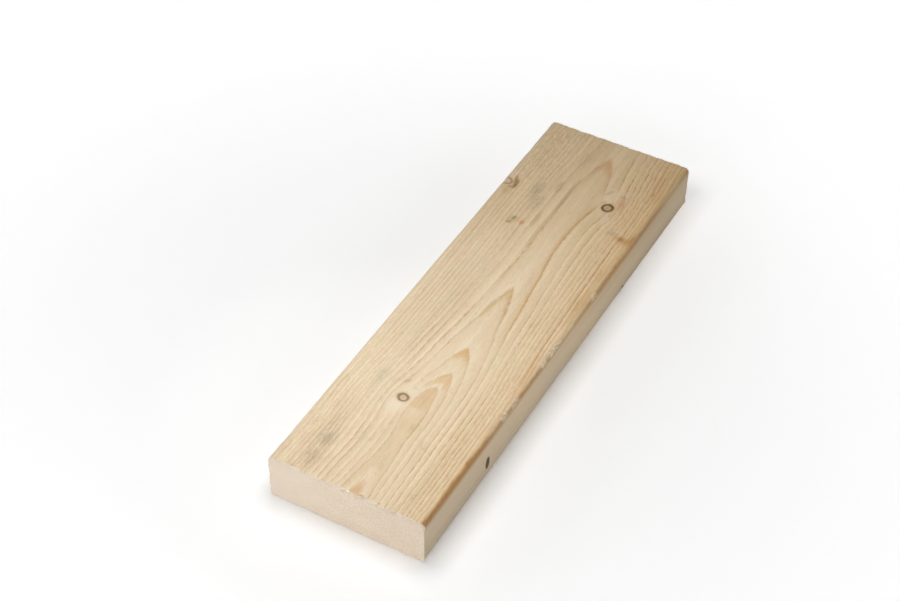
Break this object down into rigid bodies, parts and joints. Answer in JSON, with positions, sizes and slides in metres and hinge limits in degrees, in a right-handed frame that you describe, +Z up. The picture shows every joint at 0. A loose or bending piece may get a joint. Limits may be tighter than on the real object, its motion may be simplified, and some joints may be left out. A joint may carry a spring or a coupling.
{
  "type": "timber plank",
  "caption": "Short length of planed softwood plank with a rectangular section, eased long edges and square sawn ends, used as framing, decking or joinery stock.",
  "frame": {"origin": "middle of the underside, where the plank rests on a level floor", "axes": "+X across the width, +Y along the grain towards the far end, +Z up out of the upper wide face"},
  "size_m": [0.145, 0.5, 0.045],
  "materials": {
    "planed_spruce": "planed bare softwood, matt, with fine grain, small knots and rough sawn ends"
  },
  "bodies": {
    "root": {"plank": "planed_spruce"}
  },
  "joints": []
}
